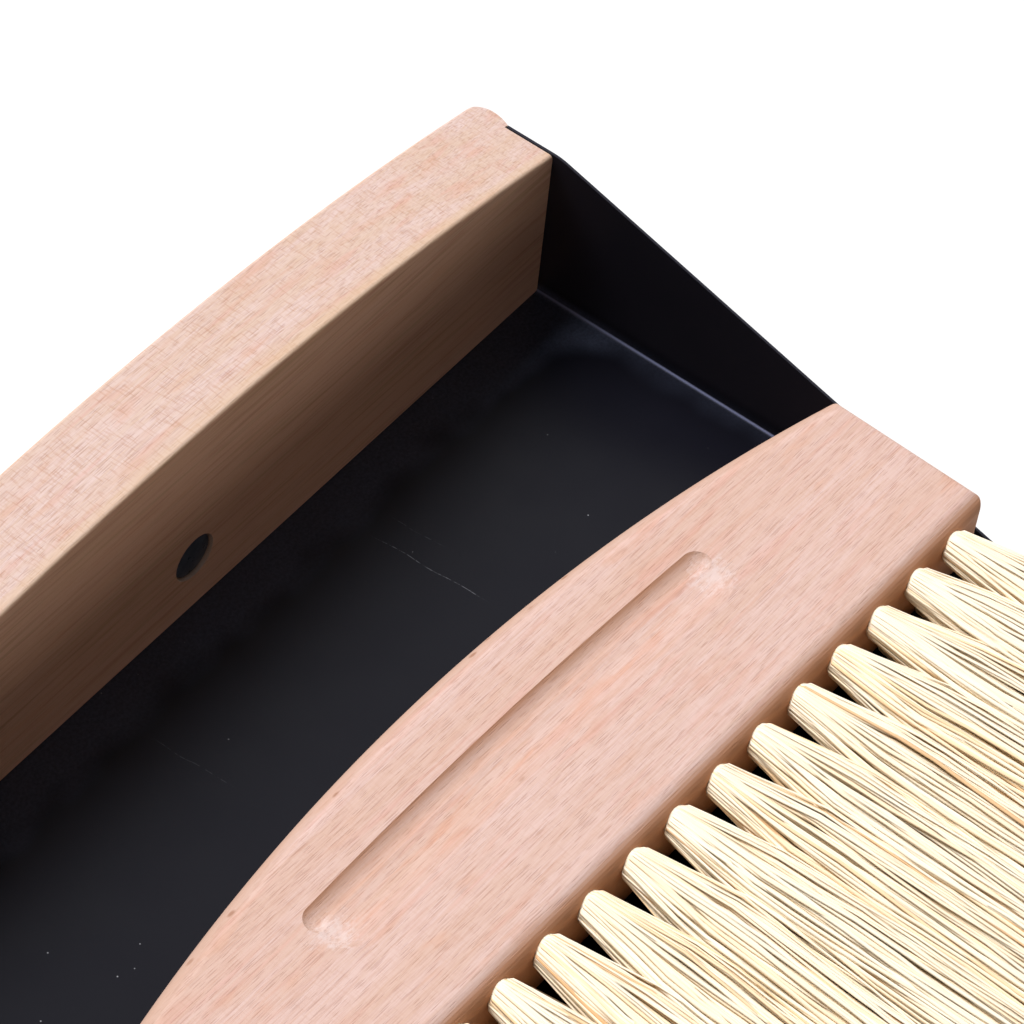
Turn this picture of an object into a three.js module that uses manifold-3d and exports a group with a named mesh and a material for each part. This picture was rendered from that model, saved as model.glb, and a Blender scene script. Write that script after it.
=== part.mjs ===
// Dustpan and brush: a folded steel pan with a wooden back board, and a wooden
// hand brush lying in it. Millimetres, +Z up. The origin is on the pan's
// underside, mid-width, directly below the back board's inner face. The pan
// opens towards -Y.

import * as THREE from 'three';
import * as BufferGeometryUtils from 'three/addons/utils/BufferGeometryUtils.js';
import Module from 'manifold-3d';

const wasm = await Module();
wasm.setup();

// ---- Driving dimensions -------------------------------------------------

// Pan sheet: floor and two side walls folded from one piece of steel
const panInnerWidth = 229.6;
const sheetThickness = 0.6;
const foldRadius = 1;
const floorLength = 142;
const wallHeight = 42.5;
const wallLevelLength = 1.7;
const wallLipHeight = 1.3;
const wallShoulderRadius = 14;
const flangeLength = 12.5;

// Back board: stands on the pan's floor, its top edge an arc
const boardWidth = 233.8;
const boardThickness = 22.3;
const boardEndHeight = 42;
const boardMidHeight = 53.7;
const boardBackCornerRadius = 4.5;
const boardEndSwell = 1.3;
const boardArris = 1;

// Brush block: flat, straight on the bristle side, arched on the spine side
const blockLength = 220;
const blockThickness = 22;
const blockEndDepth = 39.7;
const blockMidDepth = 53.4;
const blockEdgeRadius = 4.5;
const blockEndRadius = 1.6;
const blockCornerRadius = 2.2;

// Finger groove in both broad faces of the block, steeper on its spine side,
// and bowed a little towards the spine in the middle
const grooveLength = 120;
const grooveWidth = 13.5;
const grooveSteepWidth = 6.4;
const grooveBow = 1.5;
const grooveDepth = 1.3;
const grooveX = -1;
const grooveY = 29.2;

// Tufts: two staggered rows of bristle bundles, each in its own blind hole
const tuftPitch = 13.1;
const tuftUpperCount = 16;
const tuftLowerCount = 15;
const tuftRowSpacing = 10.6;
const tuftRowX = 1;
const tuftHoleRadius = 3.4;
const tuftHoleDepth = 13;
const bristleLength = 85;
const tuftTipHalfHeight = 5.15;
const tuftFan = 0.05;
const tuftFlareLength = 24;

// Where the brush lies in the pan
const brushX = 3.1;
const brushY = -110.6;
const brushTurn = THREE.MathUtils.degToRad(-1.95);

// Magnets: discs let into the board and into the brush's spine
const magnetRadius = 5.35;
const magnetThickness = 3;
const magnetRecess = 0.8;
const magnetHoleHeight = 15.9;

// Screws through the side walls into the board's ends
const screwShankRadius = 1.5;
const screwLength = 16;
const screwHeadRadius = 3.5;
const screwHeadHeight = 1.5;
const screwHeights = [12, 31];

// Clearance left between pieces that touch on the real object
const gap = 0.3;

// ---- Materials ----------------------------------------------------------

const blackSteel = { color: 0x17171b, roughness: 0.45, metalness: 0.2 };
const beechBoard = { color: 0xe8cdbd, roughness: 0.65, metalness: 0 };
const beechBlock = { color: 0xe3bfae, roughness: 0.6, metalness: 0 };
const plantFibre = { color: 0xecdcb4, roughness: 0.7, metalness: 0 };
const zincSteel = { color: 0xa8abb0, roughness: 0.35, metalness: 0.9 };
const nickelMagnet = { color: 0x6d7480, roughness: 0.35, metalness: 0.8 };

// ---- Helpers ------------------------------------------------------------

// Closed triangle mesh with shared vertices, as a solid for cutting
function toSolid(geometry) {
  const bare = geometry.clone();
  bare.deleteAttribute('normal');
  bare.deleteAttribute('uv');
  const merged = BufferGeometryUtils.mergeVertices(bare, 1e-4);
  return new wasm.Manifold(new wasm.Mesh({
    numProp: 3,
    vertProperties: new Float32Array(merged.attributes.position.array),
    triVerts: new Uint32Array(merged.index.array),
  }));
}

function toGeometry(solid) {
  const mesh = solid.getMesh();
  const geometry = new THREE.BufferGeometry();
  geometry.setAttribute('position', new THREE.BufferAttribute(mesh.vertProperties, 3));
  geometry.setIndex(new THREE.BufferAttribute(mesh.triVerts, 1));
  geometry.computeVertexNormals();
  return geometry;
}

function named(name, geometry, look) {
  const mesh = new THREE.Mesh(geometry, new THREE.MeshStandardMaterial(look));
  mesh.name = name;
  return mesh;
}

// Extrusion of an outline drawn in X and Z, running from yStart towards -Y
function extrudeAlongY(shape, yStart, depth, options = {}) {
  const geometry = new THREE.ExtrudeGeometry(shape, { depth, bevelEnabled: false, ...options });
  geometry.rotateX(Math.PI / 2);
  geometry.translate(0, yStart, 0);
  return geometry;
}

// Round bar along X or Y, centred on the given point
function bar(radius, length, axis, x, y, z, sides = 16) {
  const geometry = new THREE.CylinderGeometry(radius, radius, length, sides);
  if (axis === 'x') geometry.rotateZ(-Math.PI / 2);
  geometry.translate(x, y, z);
  return geometry;
}

// Radius of an arc from its half chord and its rise
function arcRadius(halfChord, rise) {
  return (halfChord * halfChord + rise * rise) / (2 * rise);
}

// ---- Pan sheet ----------------------------------------------------------

const innerHalf = panInnerWidth / 2;
const outerHalf = innerHalf + sheetThickness;

// U section in X and Z, open at the top: floor and walls with folded corners
function channel(half, floorTop, innerRadius, outer, bottom, outerRadius, top) {
  const shape = new THREE.Shape();
  shape.moveTo(-outer, top);
  shape.lineTo(-outer, bottom + outerRadius);
  shape.absarc(-outer + outerRadius, bottom + outerRadius, outerRadius, Math.PI, 1.5 * Math.PI, false);
  shape.lineTo(outer - outerRadius, bottom);
  shape.absarc(outer - outerRadius, bottom + outerRadius, outerRadius, 1.5 * Math.PI, 2 * Math.PI, false);
  shape.lineTo(outer, top);
  shape.lineTo(half, top);
  shape.lineTo(half, floorTop + innerRadius);
  shape.absarc(half - innerRadius, floorTop + innerRadius, innerRadius, 0, -Math.PI / 2, true);
  shape.lineTo(-half + innerRadius, floorTop);
  shape.absarc(-half + innerRadius, floorTop + innerRadius, innerRadius, -Math.PI / 2, -Math.PI, true);
  shape.lineTo(-half, top);
  return shape;
}

// What is cut away above the walls: level by the board, rounded over the
// shoulder, then straight down to the lip
function aboveWalls() {
  const slope = (wallHeight - wallLipHeight) / (floorLength - wallLevelLength);
  const tangent = wallShoulderRadius * Math.tan(Math.atan(slope) / 2);
  const down = Math.atan(slope);
  const shape = new THREE.Shape();
  const high = wallHeight + 20;
  shape.moveTo(flangeLength + 5, high);
  shape.lineTo(-floorLength - 5, high);
  shape.lineTo(-floorLength - 5, wallLipHeight - 5 * slope);
  shape.lineTo(-wallLevelLength - tangent * Math.cos(down), wallHeight - tangent * Math.sin(down));
  shape.quadraticCurveTo(-wallLevelLength, wallHeight, -wallLevelLength + tangent, wallHeight);
  shape.lineTo(flangeLength + 5, wallHeight);
  const geometry = new THREE.ExtrudeGeometry(shape, {
    depth: 2 * outerHalf + 10,
    bevelEnabled: false,
    curveSegments: 5,
  });
  // Outline's first axis to Y, second axis to Z, depth to X
  geometry.rotateX(Math.PI / 2);
  geometry.rotateZ(Math.PI / 2);
  geometry.translate(-outerHalf - 5, 0, 0);
  return geometry;
}

function dustpanSheet() {
  const section = channel(
    innerHalf, sheetThickness, foldRadius,
    outerHalf, 0, foldRadius + sheetThickness, wallHeight,
  );
  const length = floorLength + flangeLength;
  const folded = extrudeAlongY(section, flangeLength, length, { curveSegments: 7 });
  let solid = toSolid(folded).subtract(toSolid(aboveWalls()));
  for (const side of [-1, 1]) {
    for (const height of screwHeights) {
      const hole = bar(
        screwShankRadius + gap, 6, 'x',
        side * innerHalf, flangeLength / 2, height,
      );
      solid = solid.subtract(toSolid(hole));
    }
  }
  return named('dustpan_sheet', toGeometry(solid), blackSteel);
}

// ---- Back board ---------------------------------------------------------

const boardHalf = boardWidth / 2;

// Front view: the arched top runs on past the ends, and the plan cuts it off
function boardFace() {
  const radius = arcRadius(boardHalf, boardMidHeight - boardEndHeight);
  const wide = boardHalf + 12;
  const reach = Math.asin(wide / radius);
  const centre = boardMidHeight - radius;
  const shape = new THREE.Shape();
  shape.moveTo(-wide, -12);
  shape.lineTo(wide, -12);
  shape.absarc(0, centre, radius, Math.PI / 2 - reach, Math.PI / 2 + reach, false);
  return extrudeAlongY(shape, boardThickness - boardArris, boardThickness - 2 * boardArris, {
    bevelEnabled: true,
    bevelThickness: boardArris,
    bevelSize: boardArris,
    bevelOffset: -boardArris,
    bevelSegments: 6,
    curveSegments: 36,
  });
}

// Plan view: square at the inner face. Behind the walls the ends swell a
// little, and run into the rounded back corners.
function boardPlan() {
  const radius = boardBackCornerRadius;
  const narrow = boardHalf - boardEndSwell;
  const wallEnd = flangeLength + gap;
  const back = boardThickness - radius;
  const shape = new THREE.Shape();
  shape.moveTo(-narrow, 0);
  shape.lineTo(narrow, 0);
  shape.lineTo(narrow, wallEnd);
  shape.quadraticCurveTo(boardHalf, (wallEnd + back) / 2, boardHalf, back);
  shape.absarc(boardHalf - radius, back, radius, 0, Math.PI / 2, false);
  shape.absarc(-boardHalf + radius, back, radius, Math.PI / 2, Math.PI, false);
  shape.quadraticCurveTo(-boardHalf, (wallEnd + back) / 2, -narrow, wallEnd);
  return new THREE.ExtrudeGeometry(shape, {
    depth: boardMidHeight + 10,
    bevelEnabled: false,
    curveSegments: 8,
  });
}

// Everything outside the pan's inside, as far back as the sheet reaches
function boardRebate() {
  const section = channel(
    innerHalf - gap, sheetThickness + gap, foldRadius - gap,
    boardHalf + 4, -4, 0.5, boardMidHeight + 10,
  );
  return extrudeAlongY(section, flangeLength + gap, flangeLength + gap + 5, { curveSegments: 3 });
}

function backBoard() {
  let solid = toSolid(boardFace()).intersect(toSolid(boardPlan()));
  solid = solid.subtract(toSolid(boardRebate()));
  const magnetHoleDepth = magnetRecess + magnetThickness + gap;
  const recess = bar(
    magnetRadius + gap, 2 * magnetHoleDepth, 'y',
    0, 0, magnetHoleHeight, 28,
  );
  solid = solid.subtract(toSolid(recess));
  for (const side of [-1, 1]) {
    for (const height of screwHeights) {
      const pilot = bar(
        screwShankRadius + gap, 2 * (screwLength + 1), 'x',
        side * outerHalf, flangeLength / 2, height,
      );
      solid = solid.subtract(toSolid(pilot));
    }
  }
  return named('back_board', toGeometry(solid), beechBoard);
}

function boardMagnet() {
  const disc = bar(
    magnetRadius, magnetThickness, 'y',
    0, magnetRecess + magnetThickness / 2, magnetHoleHeight, 28,
  );
  return named('board_magnet', disc, nickelMagnet);
}

// ---- Side screws --------------------------------------------------------

// Domed cross-head screw along +Y: shank below, head above the origin
function screwGeometry() {
  const profile = [
    new THREE.Vector2(0, -screwLength),
    new THREE.Vector2(screwShankRadius, -screwLength + 3),
    new THREE.Vector2(screwShankRadius, 0),
    new THREE.Vector2(screwHeadRadius, 0),
    new THREE.Vector2(screwHeadRadius * 0.94, screwHeadHeight * 0.5),
    new THREE.Vector2(screwHeadRadius * 0.6, screwHeadHeight * 0.9),
    new THREE.Vector2(0, screwHeadHeight),
  ];
  let solid = toSolid(new THREE.LatheGeometry(profile, 16));
  for (const turn of [0, Math.PI / 2]) {
    const slot = new THREE.BoxGeometry(3.6, 1.6, 0.8);
    slot.rotateY(turn);
    slot.translate(0, screwHeadHeight, 0);
    solid = solid.subtract(toSolid(slot));
  }
  return toGeometry(solid);
}

function sideScrews() {
  const screws = [];
  const head = screwGeometry();
  for (const [sideName, side] of [['left', -1], ['right', 1]]) {
    screwHeights.forEach((height, index) => {
      const level = index === 0 ? 'lower' : 'upper';
      const screw = named(`side_screw_${sideName}_${level}`, head.clone(), zincSteel);
      screw.rotation.z = -side * Math.PI / 2;
      screw.position.set(side * (outerHalf + 0.1), flangeLength / 2, height);
      screws.push(screw);
    });
  }
  return screws;
}

// ---- Brush block --------------------------------------------------------
// The brush's own frame: X along the block, +Y to the spine, Z up. Its origin
// is on the underside, in the middle of the bristle face.

const spineRadius = arcRadius(blockLength / 2, blockMidDepth - blockEndDepth);
const spineCentre = blockMidDepth - spineRadius;

// Plan of the moulding that the block is cut from, longer than the block
function mouldingPlan() {
  const half = blockLength / 2 + 15;
  const reach = Math.asin(half / spineRadius);
  const shape = new THREE.Shape();
  shape.moveTo(-half, 0);
  shape.lineTo(half, 0);
  shape.absarc(0, spineCentre, spineRadius, Math.PI / 2 - reach, Math.PI / 2 + reach, false);
  return shape;
}

// Plan that trims it to length, with rounded corners. It stands a hair
// outside the moulding's long faces, so it shapes only the ends.
function endTrimPlan() {
  const hair = 0.05;
  const half = blockLength / 2;
  const radius = blockCornerRadius;
  const outerRadius = spineRadius + hair;
  const reach = Math.asin((half - radius) / outerRadius);
  const corner = blockEndDepth + hair;
  const shoulder = spineCentre + Math.cos(reach) * outerRadius;
  const shape = new THREE.Shape();
  shape.moveTo(-half + radius, -hair);
  shape.lineTo(half - radius, -hair);
  shape.absarc(half - radius, radius - hair, radius, -Math.PI / 2, 0, false);
  shape.lineTo(half, corner - radius);
  shape.quadraticCurveTo(half, corner, half - radius, shoulder);
  shape.absarc(0, spineCentre, outerRadius, Math.PI / 2 - reach, Math.PI / 2 + reach, false);
  shape.quadraticCurveTo(-half, corner, -half, corner - radius);
  shape.lineTo(-half, radius - hair);
  shape.absarc(-half + radius, radius - hair, radius, Math.PI, 1.5 * Math.PI, false);
  return shape;
}

// Slab of a plan with its upper and lower edges rounded over
function roundedSlab(shape, radius, bevelSegments, curveSegments) {
  const geometry = new THREE.ExtrudeGeometry(shape, {
    depth: blockThickness - 2 * radius,
    bevelEnabled: true,
    bevelThickness: radius,
    bevelSize: radius,
    bevelOffset: -radius,
    bevelSegments,
    curveSegments,
  });
  geometry.translate(0, 0, radius);
  return geometry;
}

// Cutter with round ends for the finger groove: its width, the groove edge on
// the spine side that it runs along, and the face it cuts
function grooveCutter(width, level, up) {
  const radius = arcRadius(width / 2, grooveDepth);
  const straight = grooveLength - width;
  const spineEdge = grooveY + grooveWidth / 2;
  const geometry = new THREE.CapsuleGeometry(radius, straight, 24, 80, 14);
  geometry.rotateZ(-Math.PI / 2);
  const position = geometry.attributes.position;
  for (let i = 0; i < position.count; i += 1) {
    const along = position.getX(i) / (grooveLength / 2);
    position.setY(i, position.getY(i) + grooveBow * (1 - along * along));
  }
  geometry.translate(grooveX, spineEdge - width / 2, level + up * (radius - grooveDepth));
  return geometry;
}

// Hole positions of the two rows, in the block's frame
function tuftPlaces() {
  const rows = [
    { row: 'upper', count: tuftUpperCount, side: 1 },
    { row: 'lower', count: tuftLowerCount, side: -1 },
  ];
  return rows.flatMap(({ row, count, side }) => Array.from({ length: count }, (_, index) => ({
    name: `tuft_${row}_${String(index + 1).padStart(2, '0')}`,
    side,
    x: tuftRowX + (index - (count - 1) / 2) * tuftPitch,
    z: blockThickness / 2 + side * tuftRowSpacing / 2,
  })));
}

function brushBlock(places) {
  const moulding = toSolid(roundedSlab(mouldingPlan(), blockEdgeRadius, 9, 36));
  const trim = toSolid(roundedSlab(endTrimPlan(), blockEndRadius, 6, 16));
  let solid = moulding.intersect(trim);
  for (const width of [grooveWidth, grooveSteepWidth]) {
    solid = solid.subtract(toSolid(grooveCutter(width, blockThickness, 1)));
    solid = solid.subtract(toSolid(grooveCutter(width, 0, -1)));
  }
  const magnetHoleDepth = magnetRecess + magnetThickness + gap;
  const recess = bar(
    magnetRadius + gap, 2 * magnetHoleDepth, 'y',
    0, blockMidDepth, blockThickness / 2, 28,
  );
  solid = solid.subtract(toSolid(recess));
  for (const { x, z } of places) {
    const hole = bar(tuftHoleRadius, 2 * tuftHoleDepth, 'y', x, 0, z, 12);
    solid = solid.subtract(toSolid(hole));
  }
  return named('brush_block', toGeometry(solid), beechBlock);
}

function brushMagnet() {
  const disc = bar(
    magnetRadius, magnetThickness, 'y',
    0, blockMidDepth - magnetRecess - magnetThickness / 2, blockThickness / 2, 28,
  );
  return named('brush_magnet', disc, nickelMagnet);
}

// ---- Tufts --------------------------------------------------------------

// One bundle: a round root in its hole, flaring along its length until it
// fills its share of the row. The rows part at the block's mid-plane.
function tuftGeometry({ x, z, side }) {
  const root = tuftHoleRadius - gap;
  const tipHalfWidth = (tuftPitch * (1 + tuftFan) - gap) / 2;
  const tipCentre = blockThickness / 2 + side * (tuftTipHalfHeight + gap / 2);
  const stations = [-bristleLength, -46, -24, -11, 0, tuftHoleDepth - 0.5];
  const geometry = new THREE.CylinderGeometry(1, 1, 1, 12, stations.length - 1);
  const position = geometry.attributes.position;
  for (let i = 0; i < position.count; i += 1) {
    const station = Math.round((position.getY(i) + 0.5) * (stations.length - 1));
    const y = stations[station];
    const reach = Math.max(-y, 0);
    const along = reach / bristleLength;
    const flare = Math.sqrt(1 - (1 - Math.min(reach / (2 * tuftFlareLength), 1)) ** 2);
    const halfWidth = THREE.MathUtils.lerp(root, tipHalfWidth, flare * 0.6 + along * 0.4);
    const halfHeight = THREE.MathUtils.lerp(root, tuftTipHalfHeight, along);
    const centreX = x * (1 + tuftFan * along);
    const centreZ = THREE.MathUtils.lerp(z, tipCentre, along);
    position.setXYZ(
      i,
      centreX + halfWidth * position.getX(i),
      y,
      centreZ + halfHeight * position.getZ(i),
    );
  }
  return toGeometry(toSolid(geometry));
}

// ---- Assembly -----------------------------------------------------------

const dustpan = new THREE.Group();
dustpan.add(dustpanSheet(), backBoard(), boardMagnet(), ...sideScrews());

const places = tuftPlaces();
const brush = new THREE.Group();
brush.add(brushBlock(places), brushMagnet());
for (const place of places) {
  brush.add(named(place.name, tuftGeometry(place), plantFibre));
}
brush.position.set(brushX, brushY, sheetThickness + gap);
brush.rotation.z = brushTurn;

const object = new THREE.Group();
object.add(dustpan, brush);

export default object;
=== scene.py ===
"""The dustpan and brush as it looks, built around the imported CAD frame.

Lengths are in metres, in the CAD frame."""

import math

import bmesh
import bpy
import numpy as np
from mathutils import Matrix, Vector


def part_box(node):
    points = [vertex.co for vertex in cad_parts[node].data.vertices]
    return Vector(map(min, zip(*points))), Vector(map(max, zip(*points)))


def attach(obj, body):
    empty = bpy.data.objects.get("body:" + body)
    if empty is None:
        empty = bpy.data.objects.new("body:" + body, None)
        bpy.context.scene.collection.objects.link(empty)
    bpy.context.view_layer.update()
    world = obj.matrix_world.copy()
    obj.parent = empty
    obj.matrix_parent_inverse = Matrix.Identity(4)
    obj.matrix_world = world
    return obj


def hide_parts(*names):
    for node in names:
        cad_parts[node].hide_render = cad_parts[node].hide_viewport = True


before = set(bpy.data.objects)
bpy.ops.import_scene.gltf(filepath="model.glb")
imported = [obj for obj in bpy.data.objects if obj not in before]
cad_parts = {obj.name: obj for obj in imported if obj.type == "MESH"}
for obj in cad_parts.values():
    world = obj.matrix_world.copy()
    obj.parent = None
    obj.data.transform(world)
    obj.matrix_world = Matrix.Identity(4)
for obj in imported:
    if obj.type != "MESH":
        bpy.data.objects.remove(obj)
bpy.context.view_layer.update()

millimetre = 0.001
up = np.array([0.0, 0.0, 1.0])


# ---------------------------------------------------------------- camera, floor and light


def make_camera():
    """The camera looks down on the pan from beyond its left front corner, a little rolled."""
    target = Vector((62.1, -33.6, 0.0)) * millimetre
    distance = 0.806
    azimuth = math.radians(-57.634)
    elevation = math.radians(50.518)
    roll = math.radians(6.799)
    back = Vector((
        math.sin(azimuth) * math.cos(elevation),
        -math.cos(azimuth) * math.cos(elevation),
        math.sin(elevation),
    ))
    level = Vector((math.cos(azimuth), math.sin(azimuth), 0.0))
    upright = back.cross(level)
    right = level * math.cos(roll) + upright * math.sin(roll)
    top = upright * math.cos(roll) - level * math.sin(roll)
    data = bpy.data.cameras.new("camera")
    data.lens = 136.34
    data.sensor_width = 36.0
    camera = bpy.data.objects.new("camera", data)
    turn = Matrix((right, top, back)).transposed().to_4x4()
    camera.matrix_world = Matrix.Translation(target + back * distance) @ turn
    bpy.context.scene.collection.objects.link(camera)
    bpy.context.scene.camera = camera


def make_floor():
    """A wide pale floor just under the pan."""
    half = 15.0
    gap = 0.1 * millimetre
    mesh = bpy.data.meshes.new("floor")
    build = bmesh.new()
    bmesh.ops.create_grid(build, x_segments=1, y_segments=1, size=half)
    build.to_mesh(mesh)
    build.free()
    floor = bpy.data.objects.new("floor", mesh)
    floor.location.z = -gap
    bpy.context.scene.collection.objects.link(floor)
    paint = Shading("floor_paper")
    paint.shader.inputs["Base Color"].default_value = (0.76, 0.76, 0.76, 1.0)
    paint.shader.inputs["Roughness"].default_value = 0.9
    paint.shader.inputs["Specular IOR Level"].default_value = 0.1
    mesh.materials.append(paint.material)


def make_backdrop():
    """A white dome round the floor. It shows behind the object and in its gloss, and lights nothing."""
    radius = 12.0
    mesh = bpy.data.meshes.new("backdrop")
    build = bmesh.new()
    bmesh.ops.create_uvsphere(build, u_segments=48, v_segments=24, radius=radius)
    build.to_mesh(mesh)
    build.free()
    dome = bpy.data.objects.new("backdrop", mesh)
    bpy.context.scene.collection.objects.link(dome)
    dome.visible_diffuse = False
    dome.visible_transmission = False
    dome.visible_shadow = False
    glow = Shading("backdrop_white")
    glow.shader.inputs["Base Color"].default_value = (0.0, 0.0, 0.0, 1.0)
    glow.shader.inputs["Emission Color"].default_value = (1.0, 1.0, 1.0, 1.0)
    glow.shader.inputs["Emission Strength"].default_value = 1.0
    glow.material.cycles.emission_sampling = "NONE"
    mesh.materials.append(glow.material)


def make_light():
    """One very wide soft light from above and behind, in a dim room."""
    scene = bpy.context.scene
    scene.view_settings.view_transform = "Standard"
    data = bpy.data.lights.new("key", "SUN")
    data.energy = 4.8
    data.angle = math.radians(34.0)
    key = bpy.data.objects.new("key", data)
    towards_light = Vector((0.0, 0.55, 1.0)).normalized()
    key.rotation_mode = "QUATERNION"
    key.rotation_quaternion = towards_light.to_track_quat("Z", "Y")
    key.visible_glossy = False
    scene.collection.objects.link(key)

    world = bpy.data.worlds.new("room")
    scene.world = world
    world.use_nodes = True
    room = world.node_tree.nodes["Background"]
    room.inputs["Color"].default_value = (1.0, 0.97, 0.94, 1.0)
    room.inputs["Strength"].default_value = 0.04


# ---------------------------------------------------------------- material building blocks


def srgb(red, green, blue):
    """A display colour of 0 to 255 per channel, as the linear colour that Blender takes."""
    linear = []
    for channel in (red, green, blue):
        c = channel / 255.0
        linear.append(c / 12.92 if c <= 0.04045 else ((c + 0.055) / 1.055) ** 2.4)
    return (*linear, 1.0)


class Shading:
    """A material in the making: its nodes, its shader, and short calls for the nodes used here."""

    def __init__(self, name, turn=0.0):
        self.material = bpy.data.materials.new(name)
        self.material.use_nodes = True
        self.tree = self.material.node_tree
        self.shader = self.tree.nodes["Principled BSDF"]
        coordinates = self.tree.nodes.new("ShaderNodeTexCoord")
        self.normal = coordinates.outputs["Normal"]
        self.place = coordinates.outputs["Object"]
        if turn:
            self.place = self.turned(self.place, turn)
            self.normal = self.turned(self.normal, turn)

    def give(self, socket, value):
        """Sets a socket to a number or colour, or links another socket to it."""
        if isinstance(value, bpy.types.NodeSocket):
            self.tree.links.new(value, socket)
        else:
            socket.default_value = value

    def turned(self, vector, angle):
        """The vector turned by this angle about the vertical."""
        node = self.tree.nodes.new("ShaderNodeVectorRotate")
        node.rotation_type = "Z_AXIS"
        self.give(node.inputs["Vector"], vector)
        node.inputs["Angle"].default_value = angle
        return node.outputs["Vector"]

    def scaled(self, size, vector=None, shift=(0.0, 0.0, 0.0)):
        """Coordinates in which a feature of this size, in metres along each axis, is one unit."""
        node = self.tree.nodes.new("ShaderNodeMapping")
        self.give(node.inputs["Vector"], vector or self.place)
        node.inputs["Scale"].default_value = [1.0 / s for s in size]
        node.inputs["Location"].default_value = shift
        return node.outputs["Vector"]

    def noise(self, size, detail=2.0, roughness=0.5, vector=None, shift=(0.0, 0.0, 0.0)):
        """Soft noise, from 0 to 1, whose features are about this size along each axis."""
        node = self.tree.nodes.new("ShaderNodeTexNoise")
        self.give(node.inputs["Vector"], self.scaled(size, vector, shift))
        node.inputs["Scale"].default_value = 1.0
        node.inputs["Detail"].default_value = detail
        node.inputs["Roughness"].default_value = roughness
        return node.outputs["Fac"]

    def cells(self, size, shift=(0.0, 0.0, 0.0)):
        """Distance to the nearest of many scattered points, and a random number for each point."""
        node = self.tree.nodes.new("ShaderNodeTexVoronoi")
        self.give(node.inputs["Vector"], self.scaled(size, None, shift))
        node.inputs["Scale"].default_value = 1.0
        draw = self.tree.nodes.new("ShaderNodeSeparateColor")
        self.give(draw.inputs["Color"], node.outputs["Color"])
        return node.outputs["Distance"], draw.outputs["Red"]

    def distance(self, point):
        """Distance to a point, in the turned frame of this material's coordinates."""
        node = self.tree.nodes.new("ShaderNodeVectorMath")
        node.operation = "DISTANCE"
        self.give(node.inputs[0], self.place)
        node.inputs[1].default_value = point
        return node.outputs["Value"]

    def axis(self, vector, name):
        """The part of a vector along X, Y or Z."""
        node = self.tree.nodes.new("ShaderNodeSeparateXYZ")
        self.give(node.inputs["Vector"], vector)
        return node.outputs[name]

    def math(self, operation, first, second=0.0):
        """A sum, product or other operation on two values."""
        node = self.tree.nodes.new("ShaderNodeMath")
        node.operation = operation
        self.give(node.inputs[0], first)
        self.give(node.inputs[1], second)
        return node.outputs[0]

    def times(self, first, second):
        return self.math("MULTIPLY", first, second)

    def minus(self, first, second):
        return self.math("SUBTRACT", first, second)

    def step(self, value, start, end, low=0.0, high=1.0):
        """A smooth step from low to high as the value goes from start to end."""
        node = self.tree.nodes.new("ShaderNodeMapRange")
        node.interpolation_type = "SMOOTHSTEP"
        self.give(node.inputs["Value"], value)
        node.inputs["From Min"].default_value = start
        node.inputs["From Max"].default_value = end
        node.inputs["To Min"].default_value = low
        node.inputs["To Max"].default_value = high
        return node.outputs["Result"]

    def band(self, value, start, end, soft):
        """1 where the value lies between start and end, fading to 0 over a soft edge on both sides."""
        rise = self.step(value, start - soft, start + soft)
        fall = self.step(value, end + soft, end - soft)
        return self.times(rise, fall)

    def mix(self, share, first, second):
        """The first colour, with this share of the second; Mix node sockets 6, 7 and 2 are its colours."""
        node = self.tree.nodes.new("ShaderNodeMix")
        node.data_type = "RGBA"
        self.give(node.inputs["Factor"], share)
        self.give(node.inputs[6], first)
        self.give(node.inputs[7], second)
        return node.outputs[2]

    def bump(self, height, depth, strength):
        """Relief of this depth, in metres, where the height goes from 0 to 1."""
        node = self.tree.nodes.new("ShaderNodeBump")
        node.inputs["Strength"].default_value = strength
        node.inputs["Distance"].default_value = depth
        self.give(node.inputs["Height"], height)
        return node.outputs["Normal"]

    def finish(self, colour, roughness, normal, **constants):
        """Links the three to the shader, sets its other inputs by name, and hands over the material."""
        self.give(self.shader.inputs["Base Color"], colour)
        self.give(self.shader.inputs["Roughness"], roughness)
        self.give(self.shader.inputs["Normal"], normal)
        for name, value in constants.items():
            self.shader.inputs[name.replace("_", " ")].default_value = value
        return self.material


# ---------------------------------------------------------------- wood


wood_relief = 0.06 * millimetre
wood_relief_strength = 0.5
wood_gloss = 0.25


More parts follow.
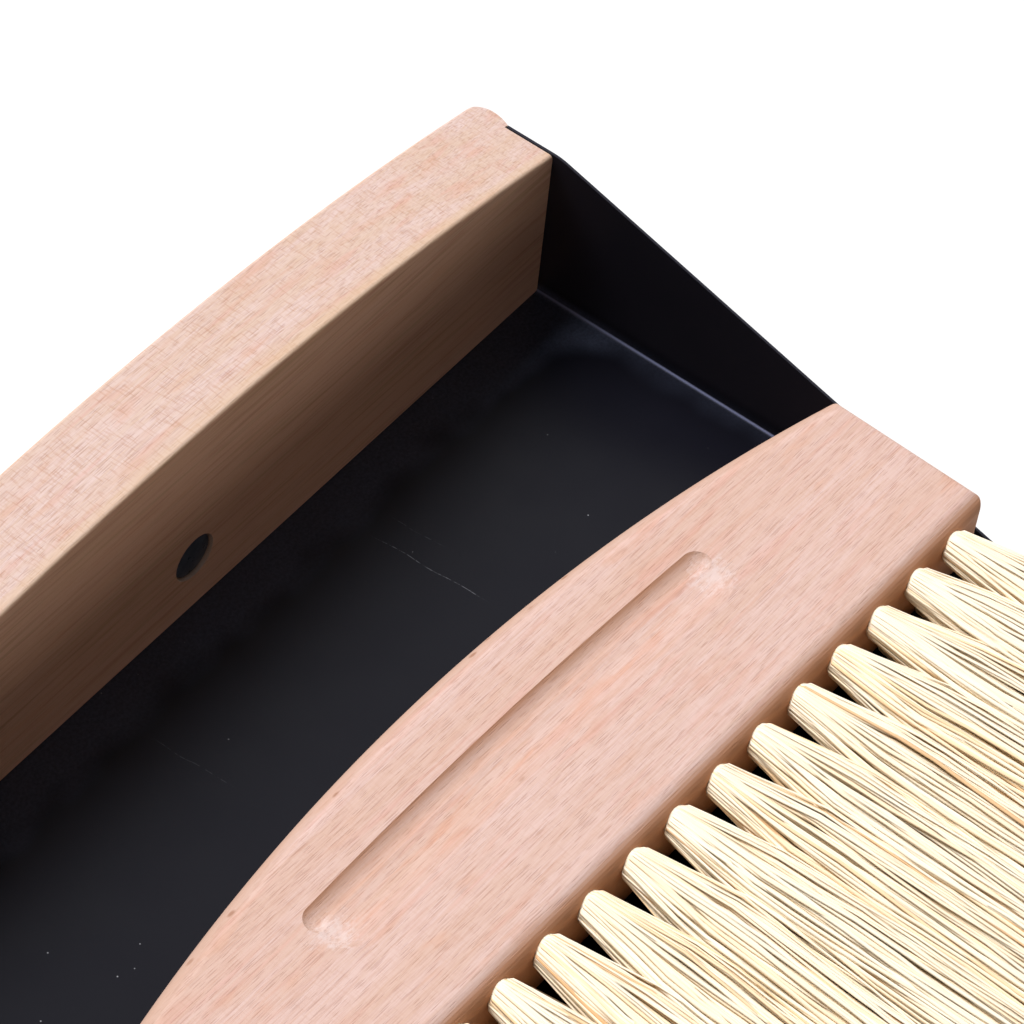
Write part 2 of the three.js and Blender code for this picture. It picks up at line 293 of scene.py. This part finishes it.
def beech(wood, pale, warm, tan, cross):
    """Colour, roughness and relief of sawn beech with its grain along X. Pale and warm streaks, fine
    dark pore dashes, and flecks across the grain, of this strength, where a face shows the rays."""
    broad = wood.noise((0.11, 0.006, 0.006), 3.0)
    colour = wood.mix(wood.step(broad, 0.38, 0.66), pale, warm)
    blotch = wood.noise((0.014, 0.0035, 0.0035), 3.0, shift=(3.0, 1.0, 7.0))
    colour = wood.mix(wood.step(blotch, 0.54, 0.74, 0.0, 0.40), colour, srgb(206, 154, 128))
    flush = wood.noise((0.034, 0.0022, 0.0022), 2.0, shift=(8.0, 5.0, 2.0))
    colour = wood.mix(wood.step(flush, 0.52, 0.72, 0.0, 0.5), colour, srgb(208, 160, 146))
    streak = wood.noise((0.010, 0.0005, 0.0005), 3.0, 0.6)
    colour = wood.mix(wood.step(streak, 0.38, 0.72, 0.0, 0.5), colour, tan)
    pores = pore_dashes(wood)
    colour = wood.mix(wood.times(pores, 0.30), colour, srgb(150, 102, 88))
    thread = wood.noise((0.0065, 0.00024, 0.00024), 2.0, 0.6, shift=(6.0, 3.0, 8.0))
    colour = wood.mix(wood.step(thread, 0.42, 0.70, 0.0, 0.27), colour, srgb(172, 124, 106))
    fleck = wood.noise((0.0005, 0.0035, 0.0005), 2.0, 0.6, shift=(5.0, 2.0, 1.0))
    colour = wood.mix(wood.step(fleck, 0.5, 0.7, 0.0, cross), colour, srgb(182, 138, 116))
    # Painted shade: faces that turn away from the top are tinted tan.
    slope_shade = wood.step(wood.axis(wood.normal, "Z"), 0.97, 0.70)
    colour = wood.mix(wood.times(slope_shade, 0.6), colour, tan)
    height = wood.minus(wood.times(streak, 0.6), pores)
    roughness = wood.step(streak, 0.3, 0.7, 0.58, 0.72)
    return colour, roughness, height


def pore_dashes(wood):
    """1 on scattered dashes of three sizes along the grain, fading to 0 between them."""
    dashes = None
    for length, width, shift in ((0.0082, 0.00052, 0.0), (0.0056, 0.00040, 4.0), (0.0040, 0.00034, 9.0)):
        near, draw = wood.cells((length, width, width), (shift, shift, shift))
        mark = wood.times(wood.step(near, 0.40, 0.16), wood.step(draw, 0.25, 0.9))
        dashes = wood.math("MAXIMUM", dashes, mark) if dashes else mark
    return dashes


def board_beech():
    """The board's beech: browner and striped on its inner face, with a tan edge where the top meets it."""
    wood = Shading("board_beech")
    colour, roughness, height = beech(
        wood, srgb(214, 190, 184), srgb(210, 184, 170), srgb(203, 171, 146), 0.4,
    )
    front = wood.step(wood.axis(wood.normal, "Y"), -0.5, -0.9)
    colour = wood.mix(wood.times(front, 0.34), colour, srgb(196, 146, 104))
    # A tan band on the top along its front edge.
    near_front = wood.step(wood.axis(wood.place, "Y"), 0.0030, 0.0016)
    front_edge_tan = wood.times(near_front, wood.step(front, 1.0, 0.4))
    colour = wood.mix(wood.times(front_edge_tan, 0.5), colour, srgb(208, 178, 150))
    for shift, shade in ((2.0, srgb(150, 100, 80)), (6.0, srgb(150, 132, 92))):
        stripe = wood.noise((0.045, 0.0013, 0.0013), 3.0, 0.6, shift=(shift, shift, shift))
        share = wood.times(front, wood.step(stripe, 0.50, 0.66, 0.0, 0.3))
        colour = wood.mix(share, colour, shade)
    normal = wood.bump(height, wood_relief, wood_relief_strength)
    return wood.finish(colour, roughness, normal, Specular_IOR_Level=wood_gloss)


def block_beech(brush):
    """The block's beech: its own grain direction, painted shade and stains in the groove, a darker painted
    shade on the side at the tufts, a worn and flecked edge along the spine, and torn fibre at the groove's
    ends."""
    wood = Shading("block_beech", -brush.turn)
    colour, roughness, height = beech(
        wood, srgb(212, 183, 175), srgb(208, 176, 163), srgb(200, 165, 146), 0.12,
    )
    colour = groove_shade_and_stains(wood, colour, brush)
    # Painted shade: faces turned towards the tufts are tinted orange-brown for their shade and the warm light
    # bounced from the fibres.
    tuft_side_shade = wood.step(wood.axis(wood.normal, "Y"), -0.30, -0.85)
    colour = wood.mix(wood.times(tuft_side_shade, 0.65), colour, srgb(206, 136, 86))
    colour = spine_marks(wood, colour)
    torn = torn_fibre(wood, brush)
    colour = wood.mix(wood.times(torn, 0.5), colour, srgb(222, 206, 204))
    fuzz = wood.noise((0.0006, 0.0006, 0.0006), 2.0)
    height = wood.math("ADD", height, wood.times(torn, fuzz))
    normal = wood.bump(height, wood_relief, wood_relief_strength)
    return wood.finish(colour, roughness, normal, Specular_IOR_Level=wood_gloss)


def groove_shade_and_stains(wood, colour, brush):
    """Tan painted shade on the groove's steep side away from the tufts, stains along its floor, and a
    faint darker painted shade on its side towards the tufts. All of it follows the groove's bow."""
    left, right = brush.groove_ends
    half_length = 60.0 * millimetre
    bow = 1.5 * millimetre
    along = wood.axis(wood.place, "X")
    share_along = wood.math("DIVIDE", wood.minus(along, (left.x + right.x) / 2), half_length)
    rise = wood.minus(bow, wood.times(wood.times(share_along, share_along), bow))
    back = wood.minus(wood.axis(wood.place, "Y"), rise)
    inside = wood.band(along, left.x, right.x, 0.003)
    # Painted shade: a tan band on the groove's steep side away from the tufts, where that wall turns from the
    # light.
    side = wood.band(back, left.y + 0.0022, left.y + 0.0062, 0.0010)
    groove_side_shade = wood.times(inside, side)
    colour = wood.mix(wood.times(groove_side_shade, 0.30), colour, srgb(176, 132, 106))
    floor = wood.times(inside, wood.band(back, left.y - 0.005, left.y + 0.003, 0.002))
    stain = wood.noise((0.016, 0.0022, 0.0022), 3.0, 0.6, shift=(1.0, 9.0, 4.0))
    share = wood.times(floor, wood.step(stain, 0.48, 0.68, 0.0, 0.34))
    colour = wood.mix(share, colour, srgb(206, 148, 122))
    # Painted shade: a faint darker band on the groove's side towards the tufts.
    near_side_shade = wood.times(inside, wood.band(back, left.y - 0.0065, left.y - 0.003, 0.0012))
    return wood.mix(wood.times(near_side_shade, 0.20), colour, srgb(184, 144, 128))


def spine_marks(wood, colour):
    """A darker band along the rounded edges of the spine, with brown flecks on it."""
    rounded = wood.band(wood.axis(wood.normal, "Z"), 0.35, 0.96, 0.02)
    spine = wood.times(rounded, wood.step(wood.axis(wood.normal, "Y"), 0.1, 0.25))
    colour = wood.mix(wood.times(spine, 0.4), colour, srgb(178, 146, 128))
    spot, draw = wood.cells((0.0055, 0.0028, 0.0028), (2.0, 2.0, 2.0))
    fleck = wood.times(wood.step(spot, 0.26, 0.10), wood.step(draw, 0.62, 0.7))
    return wood.mix(wood.times(wood.times(spine, fleck), 0.6), colour, srgb(140, 92, 66))


def torn_fibre(wood, brush):
    """1 in a ragged patch at each end of the groove, fading to 0 outside it."""
    torn = None
    for end in brush.groove_ends:
        near = wood.distance(end)
        rough = wood.noise((0.0016, 0.0011, 0.0011), 3.0, 0.7)
        edge = wood.math("ADD", near, wood.step(rough, 0.2, 0.8, -0.0028, 0.0028))
        patch = wood.step(edge, 0.0058, 0.0004)
        torn = wood.math("MAXIMUM", torn, patch) if torn else patch
    return torn


# ---------------------------------------------------------------- metal


def black_steel(wall, back, floor):
    """Black powder coat on sheet steel: satin, dusty in its corners with more dust painted in as light where
    the board's shadow falls, a painted highlight along its folds, walls painted lighter than the floor as
    painted light, and white specks and a few hairline scratches on the floor. It takes where the inside of
    the wall, the front of the board and the top of the floor lie."""
    paint = Shading("black_steel")
    x = paint.math("ABSOLUTE", paint.axis(paint.place, "X"))
    z = paint.axis(paint.place, "Z")
    cloud = paint.noise((0.014, 0.014, 0.014), 1.0)
    # Painted light: the walls are painted lighter than the floor, standing in for light that does not reach
    # them.
    upright = paint.step(z, 0.002, 0.006)
    colour = paint.mix(upright, srgb(15, 15, 22), srgb(38, 37, 46))
    colour = paint.mix(dust_and_shadow_lift(paint, wall, back, cloud), colour, srgb(78, 84, 104))
    # Painted highlight: a pale bluish line along the fold by each wall.
    corner = paint.step(x, wall - 0.0016, wall - 0.0009)
    fold_highlight = paint.times(paint.band(z, floor + 0.0002, floor + 0.00055, 0.00015), corner)
    colour = paint.mix(fold_highlight, colour, srgb(122, 128, 160))
    level = paint.band(z, floor - 0.00005, floor + 0.00005, 0.00003)
    for place, size, share in ((0.0377, 0.026, 0.34), (0.0442, 0.011, 0.14), (-0.0305, 0.017, 0.12)):
        colour = scratched(paint, colour, level, place, size, share)
    speck, draw = paint.cells((0.004, 0.004, 0.004))
    white = paint.times(paint.step(speck, 0.055, 0.02), paint.step(draw, 0.72, 0.8))
    colour = paint.mix(paint.times(paint.times(white, level), 0.45), colour, srgb(190, 192, 198))
    fine = paint.noise((0.0004, 0.0004, 0.0004), 2.0)
    normal = paint.bump(fine, 0.01 * millimetre, 0.4)
    roughness = paint.step(cloud, 0.2, 0.8, 0.30, 0.37)
    return paint.finish(colour, roughness, normal, Specular_IOR_Level=0.17)


def dust_and_shadow_lift(paint, wall, back, cloud):
    """The share of dust on the floor: none in its middle, and more towards the walls and the board,
    past an outline with rounded corners. Near the board the share rises further, a painted light that lifts
    the board's shadow."""
    round_corner = 0.022
    x = paint.math("ABSOLUTE", paint.axis(paint.place, "X"))
    y = paint.axis(paint.place, "Y")
    z = paint.axis(paint.place, "Z")
    past_x = paint.math("MAXIMUM", paint.minus(x, wall - 0.0025 - round_corner), 0.0)
    past_y = paint.math("MAXIMUM", paint.minus(y, back - 0.011 - round_corner), 0.0)
    square = paint.math("ADD", paint.math("POWER", past_x, 2.0), paint.math("POWER", past_y, 2.0))
    past = paint.minus(paint.math("SQRT", square), round_corner)
    edge = paint.math("ADD", past, paint.step(cloud, 0.25, 0.75, -0.0018, 0.0018))
    dust = paint.times(paint.step(edge, -0.0035, 0.0045), paint.step(z, 0.004, 0.0015))
    # Painted light: the share of pale dust rises towards the board, lifting the board's shadow on the floor.
    shadow_lift = paint.step(y, back - 0.034, back - 0.006, 0.16, 0.62)
    grain = paint.noise((0.0007, 0.0007, 0.0007), 2.0, 0.6)
    return paint.times(paint.times(dust, shadow_lift), paint.step(grain, 0.2, 0.8, 0.7, 1.3))


def scratched(paint, colour, level, place, size, share):
    """A broken hairline scratch on the level floor, of this length, running away from the board."""
    start = -0.017
    slant = 0.072
    half_width = 0.06 * millimetre
    x = paint.axis(paint.place, "X")
    y = paint.axis(paint.place, "Y")
    line = paint.math("ADD", x, paint.times(paint.minus(y, start), slant))
    wander = paint.noise((0.009, 0.009, 0.009), 1.0)
    line = paint.math("ADD", line, paint.step(wander, 0.2, 0.8, -0.0003, 0.0003))
    hair = paint.band(line, place - half_width, place + half_width, half_width)
    run = paint.band(y, start - size, start, 0.002)
    broken = paint.step(paint.noise((0.0012, 0.0012, 0.0012), 2.0), 0.36, 0.6)
    mark = paint.times(paint.times(hair, run), paint.times(broken, level))
    return paint.mix(paint.times(mark, share), colour, srgb(150, 152, 160))


def plated(name, colour, lowest, highest):
    """Plated metal with fine brushing and small differences of gloss."""
    darker = [c * 0.7 for c in colour[:3]] + [1.0]
    metal = Shading(name)
    brushed = metal.noise((0.0015, 0.0002, 0.0015), 2.0)
    cloud = metal.noise((0.002, 0.002, 0.002), 3.0)
    shade = metal.mix(metal.step(cloud, 0.3, 0.7), colour, darker)
    normal = metal.bump(brushed, 0.01 * millimetre, 0.5)
    roughness = metal.step(brushed, 0.2, 0.8, lowest, highest)
    return metal.finish(shade, roughness, normal, Metallic=1.0)


# ---------------------------------------------------------------- fibre


def plant_fibre():
    """Cream plant fibre, a tone for each strand, with fine streaks along it."""
    fibre = Shading("plant_fibre")
    tone = fibre.tree.nodes.new("ShaderNodeAttribute")
    tone.attribute_name = "strand_tone"
    along = fibre.tree.nodes.new("ShaderNodeAttribute")
    along.attribute_name = "strand_place"
    ramp = fibre.tree.nodes.new("ShaderNodeValToRGB")
    fibre.give(ramp.inputs["Fac"], tone.outputs["Fac"])
    dots = ramp.color_ramp.elements
    dots[0].color = srgb(250, 239, 219)
    dots[1].color = srgb(216, 170, 122)
    for position, colour in ((0.45, srgb(250, 233, 206)), (0.8, srgb(246, 218, 178))):
        dots.new(position).color = colour
    streak = fibre.noise((0.00016, 0.00016, 0.016), 2.0, vector=along.outputs["Vector"])
    colour = fibre.mix(fibre.step(streak, 0.5, 0.8, 0.0, 0.3), ramp.outputs["Color"], srgb(236, 200, 154))
    normal = fibre.bump(streak, 0.03 * millimetre, 0.5)
    roughness = fibre.step(streak, 0.3, 0.7, 0.5, 0.65)
    return fibre.finish(colour, roughness, normal, Specular_IOR_Level=0.3)


# ---------------------------------------------------------------- shapes


def smooth_by_angle():
    """Geometry nodes that shade a surface smooth, apart from its edges sharper than 30 degrees."""
    group = bpy.data.node_groups.new("smooth_by_angle", "GeometryNodeTree")
    group.interface.new_socket("Geometry", in_out="INPUT", socket_type="NodeSocketGeometry")
    group.interface.new_socket("Geometry", in_out="OUTPUT", socket_type="NodeSocketGeometry")
    nodes = group.nodes
    start = nodes.new("NodeGroupInput")
    end = nodes.new("NodeGroupOutput")
    plain = nodes.new("GeometryNodeRemoveAttribute")
    plain.inputs["Name"].default_value = "custom_normal"
    angle = nodes.new("GeometryNodeInputMeshEdgeAngle")
    sharp = nodes.new("FunctionNodeCompare")
    sharp.data_type = "FLOAT"
    sharp.operation = "LESS_EQUAL"
    sharp.inputs["B"].default_value = math.radians(30.0)
    faces = nodes.new("GeometryNodeSetShadeSmooth")
    faces.domain = "FACE"
    edges = nodes.new("GeometryNodeSetShadeSmooth")
    edges.domain = "EDGE"
    link = group.links.new
    link(start.outputs[0], plain.inputs["Geometry"])
    link(plain.outputs["Geometry"], faces.inputs["Geometry"])
    link(faces.outputs["Geometry"], edges.inputs["Geometry"])
    link(angle.outputs["Unsigned Angle"], sharp.inputs["A"])
    link(sharp.outputs["Result"], edges.inputs["Shade Smooth"])
    link(edges.outputs["Geometry"], end.inputs[0])
    return group


def refine(name, material, smooth, bevel=0.0):
    """Gives a CAD node its finish: its points joined, its edges eased, its rounds shaded smooth."""
    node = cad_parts[name]
    for place in node.material_slots:
        place.material = material
    weld = node.modifiers.new("joined", "WELD")
    weld.merge_threshold = 0.002 * millimetre
    if bevel:
        ease = node.modifiers.new("eased", "BEVEL")
        ease.width = bevel
        ease.segments = 2
        ease.limit_method = "ANGLE"
        ease.angle_limit = math.radians(40.0)
    shade = node.modifiers.new("smooth", "NODES")
    shade.node_group = smooth
    level = node.modifiers.new("level", "WEIGHTED_NORMAL")
    level.keep_sharp = True
    level.weight = 50


def points(name):
    """A CAD node's points."""
    return np.array([v.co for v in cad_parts[name].data.vertices], float)


def middle(co):
    """The middle of the box round some points."""
    return (co.min(axis=0) + co.max(axis=0)) / 2


class Brush:
    """The brush's own directions: along its row of tufts, and out from the face they grow from."""

    def __init__(self):
        first = self.root_points("tuft_upper_01")
        last = self.root_points("tuft_upper_16")
        row = middle(last) - middle(first)
        self.across = row / np.linalg.norm(row)
        self.out = np.cross(self.across, up)
        self.face = (points("brush_block") @ self.out).max()
        self.turn = math.atan2(self.across[1], self.across[0])
        self.groove_ends = self.find_groove_ends()

    def find_groove_ends(self):
        """The middles of the groove's two round ends, in axes along the block, back from its face, and up."""
        block = points("brush_block")
        along = block @ self.across
        groove_shift = -1.0 * millimetre
        groove_back = 29.2 * millimetre
        reach = 57.0 * millimetre
        groove_middle = (along.min() + along.max()) / 2 + groove_shift
        return [
            Vector((groove_middle + side * reach, groove_back - self.face, block[:, 2].max()))
            for side in (-1, 1)
        ]

    @staticmethod
    def root_points(name):
        """The points at the end of a CAD tuft that is inside the block."""
        co = points(name)
        return co[co[:, 1] > co[:, 1].max() - 3 * millimetre]

    @staticmethod
    def tip_points(name):
        """The points at the trimmed end of a CAD tuft."""
        co = points(name)
        return co[co[:, 1] < co[:, 1].min() + 6 * millimetre]


# ---------------------------------------------------------------- strands

strand_width = 0.64 * millimetre
strand_thickness = 0.32 * millimetre
strand_sides = 5
# Where a strand has a ring of points: distances out from the block's face, the first inside its hole
stations = np.array([-3.0, 0.0, 0.6, 2.4, 5.0, 10.0, 15.0, 22.0, 31.0, 41.0, 52.0, 63.0, 74.0, 82.0, 85.0])
stations = stations * millimetre


class Tuft:
    """One CAD tuft: its middle at the block's face, its radius there, and its tip's size and lean."""

    def __init__(self, name, brush):
        fullness = 1.07
        root = brush.root_points(name)
        tip = brush.tip_points(name)
        root_middle = middle(root)
        tip_middle = middle(tip)
        tip_across = tip @ brush.across
        self.radius = (root[:, 2].max() - root[:, 2].min()) / 2 * fullness
        self.mouth = root_middle + brush.out * (brush.face - root_middle @ brush.out)
        self.length = (tip_middle - self.mouth) @ brush.out
        self.half_height = (tip[:, 2].max() - tip[:, 2].min()) / 2
        self.half_width = (tip_across.max() - tip_across.min()) / 2
        self.lean = ((tip_middle - self.mouth) @ brush.across) / self.length


def strand_layout(rng, radius):
    """Where strands sit in a round bundle, in rings: share of the radius, angle and girth of each. The
    outer rings are single strands, and the middle is filled with thicker ones that never show alone."""
    outer_rings = 4
    inner_girth = 1.9
    overlap = 0.42
    places = []
    ring = radius - strand_thickness * 0.6
    turn = 0
    while ring > 0:
        girth = 1.0 if turn < outer_rings else inner_girth
        count = max(1, int(2 * math.pi * ring / (overlap * strand_width * girth)))
        start = rng.uniform(0, 2 * math.pi)
        for i in range(count):
            angle = start + 2 * math.pi * (i + rng.uniform(-0.15, 0.15)) / count
            places.append((ring / radius, angle, girth))
        ring -= strand_thickness * 1.1 * girth
        turn += 1
    return np.array(places)


def flared(rng, grown):
    """How far the tuft has opened out at each station, from 0 at the block to 1 at its full width."""
    blunt = 0.6 * millimetre
    spread = 22.0 * millimetre * rng.uniform(0.85, 1.15)
    flare = np.clip((grown - blunt) / spread, 0, 1)
    return flare * (1.3 - 0.3 * flare)


def strand_paths(rng, tuft, share, angle, grown, flare):
    """How far each strand lies across and above its tuft's middle line at each station: a round bundle
    at the block that opens into a flat one, with strands that wander, lean and wave."""
    count = len(share)
    burst = rng.uniform(0.25, 0.80, count)[:, None] * millimetre
    swell_out = burst * np.clip(grown / (0.5 * millimetre), 0, 1)
    mouth_wide = tuft.radius + swell_out
    mouth_high = tuft.radius + swell_out * 0.6
    mingle = 0.5 * millimetre * flare
    wide = mouth_wide + (tuft.half_width - mouth_wide) * flare
    high = mouth_high + (tuft.half_height - mouth_high) * np.tanh(grown / 0.030) + mingle
    corner = 1.0 - 0.32 * flare
    cos, sin = np.cos(angle)[:, None], np.sin(angle)[:, None]
    reach = share[:, None] * (1 + flare * rng.uniform(-0.02, 0.12, count)[:, None])
    across = reach * wide * np.sign(cos) * np.abs(cos) ** corner
    above = share[:, None] * high * np.sign(sin) * np.abs(sin) ** corner
    across += grown * rng.normal(0, 0.009, count)[:, None]
    across += grown * rng.normal(0, 0.012)
    for wave, size in ((70.0, 0.45), (31.0, 0.14), (14.0, 0.04)):
        phase = rng.uniform(0, 2 * math.pi, (2, count, 1))
        turn = 2 * math.pi * grown / (wave * millimetre)
        swell = flare * size * millimetre
        across += swell * (np.sin(turn + phase[0]) - np.sin(phase[0]))
        above += swell * 0.5 * (np.sin(turn + phase[1]) - np.sin(phase[1]))
    return across, np.clip(above, -high, high)


def strand_rings(rng, angle, girth, flare, near_tip):
    """The ring of points round each strand at each station, across and up from the strand's middle:
    a flat oval that lies along the bundle's surface, twists a little and thins at its tip."""
    count = len(angle)
    flat = angle + math.pi / 2 + rng.normal(0, 0.12, count)
    flat = flat[:, None] + rng.normal(0, 0.16, count)[:, None] * flare
    size = (girth * rng.uniform(0.85, 1.1, count))[:, None] * (1 + 0.5 * flare)
    size = size * np.where(near_tip, 0.8, 1.0)
    around = 2 * math.pi * np.arange(strand_sides) / strand_sides
    along_flat = np.cos(around) * (strand_width / 2 * size)[:, :, None]
    through = np.sin(around) * (strand_thickness / 2 * size)[:, :, None]
    cos, sin = np.cos(flat)[:, :, None], np.sin(flat)[:, :, None]
    return along_flat * cos - through * sin, along_flat * sin + through * cos


def tuft_mesh(name, seed, brush):
    """The strands of one tuft, from inside its hole to their trimmed ends."""
    rng = np.random.default_rng(seed)
    tuft = Tuft(name, brush)
    share, angle, girth = strand_layout(rng, tuft.radius).T
    count = len(share)
    trim = rng.uniform(0.975, 1.0, count) * tuft.length / stations[-1]
    out = stations * np.where(stations > 0, trim[:, None], 1.0)
    grown = np.clip(out, 0, None)
    flare = flared(rng, grown)
    across, above = strand_paths(rng, tuft, share, angle, grown, flare)
    ring_across, ring_above = strand_rings(rng, angle, girth, flare, out > tuft.length * 0.93)
    centre = (
        tuft.mouth
        + brush.out * out[:, :, None]
        + brush.across * (across + tuft.lean * grown)[:, :, None]
        + up * above[:, :, None]
    )
    co = (
        centre[:, :, None, :]
        + brush.across * ring_across[..., None]
        + up * ring_above[..., None]
    )
    return build_strands(name, co, out, rng)


def build_strands(name, co, out, rng):
    """The mesh of all strands, with each strand's tone and each point's place on it as attributes."""
    count, levels, sides = co.shape[:3]
    per = levels * sides
    level, i = np.meshgrid(np.arange(levels - 1), np.arange(sides), indexing="ij")
    low = (level * sides + i).ravel()
    beside = (level * sides + (i + 1) % sides).ravel()
    quads = np.stack([low, low + sides, beside + sides, beside], axis=1)
    starts = np.arange(count)[:, None, None] * per
    faces = (starts + quads[None]).reshape(-1, 4).tolist()
    root_cap = np.arange(sides)
    tip_cap = per - 1 - np.arange(sides)
    faces += (starts[:, 0] + root_cap[None]).tolist()
    faces += (starts[:, 0] + tip_cap[None]).tolist()
    mesh = bpy.data.meshes.new(name.replace("tuft", "bristles"))
    mesh.from_pydata(co.reshape(-1, 3).tolist(), [], faces)
    add_tones(mesh, rng, count, per)
    add_places(mesh, rng, out, sides)
    mesh.shade_smooth()
    mesh.update()
    return mesh


def add_tones(mesh, rng, count, per):
    """A tone from 0 to 1 for each strand: four in five are pale, and the rest run on to tan."""
    pale = 0.8
    draw = rng.uniform(0, 1, count)
    tone = np.where(draw < pale, draw * 0.6, 0.48 + (draw - pale) * 2.6)
    tones = mesh.attributes.new("strand_tone", "FLOAT", "POINT")
    tones.data.foreach_set("value", np.repeat(tone, per).astype(np.float32))


def add_places(mesh, rng, out, sides):
    """Coordinates that run round and along each strand, shifted at random from one to the next."""
    texture_radius = 0.45 * millimetre
    count, levels = out.shape
    around = 2 * math.pi * np.arange(sides) / sides
    place = np.zeros((count, levels, sides, 3))
    place[..., 0] = texture_radius * np.cos(around) + rng.uniform(0, 1, count)[:, None, None]
    place[..., 1] = texture_radius * np.sin(around)
    place[..., 2] = out[:, :, None]
    places = mesh.attributes.new("strand_place", "FLOAT_VECTOR", "POINT")
    places.data.foreach_set("vector", place.reshape(-1).astype(np.float32))


def add_bristles(brush, material):
    """One piece of strands for each CAD tuft, in the tuft's place."""
    first_seed = 11
    names = sorted(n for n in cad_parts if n.startswith("tuft_"))
    for seed, name in enumerate(names, first_seed):
        mesh = tuft_mesh(name, seed, brush)
        mesh.materials.append(material)
        piece = bpy.data.objects.new(name.replace("tuft", "bristles"), mesh)
        bpy.context.scene.collection.objects.link(piece)
        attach(piece, "brush")
        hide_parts(name)


# ---------------------------------------------------------------- the whole


def build():
    """Sets the stage, dresses the CAD nodes and adds the strands."""
    make_camera()
    make_floor()
    make_backdrop()
    make_light()
    brush = Brush()
    smooth = smooth_by_angle()
    refine("back_board", board_beech(), smooth)
    refine("brush_block", block_beech(brush), smooth)
    _, sheet_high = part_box("dustpan_sheet")
    board_low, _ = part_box("back_board")
    sheet = 0.6 * millimetre
    steel = black_steel(sheet_high.x - sheet, board_low.y, sheet)
    refine("dustpan_sheet", steel, smooth)
    magnet_bevel = 0.3 * millimetre
    magnet = plated("magnet_nickel", srgb(104, 108, 118), 0.25, 0.4)
    zinc = plated("screw_zinc", srgb(180, 184, 190), 0.25, 0.45)
    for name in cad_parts:
        if "magnet" in name:
            refine(name, magnet, smooth, magnet_bevel)
        if "screw" in name:
            refine(name, zinc, smooth)
    add_bristles(brush, plant_fibre())


build()
